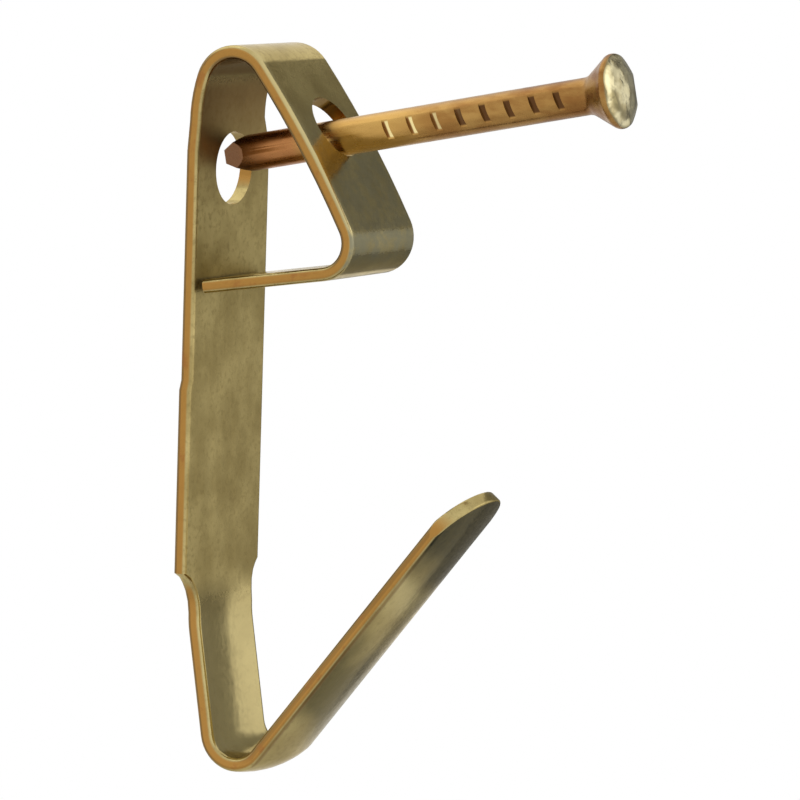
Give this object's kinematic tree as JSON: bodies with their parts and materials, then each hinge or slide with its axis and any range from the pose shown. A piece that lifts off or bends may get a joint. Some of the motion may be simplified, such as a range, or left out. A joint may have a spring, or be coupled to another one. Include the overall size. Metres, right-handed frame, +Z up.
{
  "type": "picture hook",
  "caption": "Picture hook folded from a brass-plated strip: flat wall plate, folded nail guide at the top and dished hook below, with its slanting nail resting in the guide.",
  "frame": {"origin": "on the flat back face of the plate, in the middle of its width, 13.1 mm below the start of the nail guide's bend", "axes": "+Y out of the back face towards the wall, +Z up along the plate, +X across the strip; the hook opens upwards and its tip points towards -Y"},
  "size_m": [0.008, 0.023, 0.0382],
  "materials": {
    "plated_strip": "satin, mottled brass plating",
    "plated_nail": "semi-bright brass plating"
  },
  "bodies": {
    "root": {"hook_strip": "plated_strip", "nail": "plated_nail"}
  },
  "joints": []
}
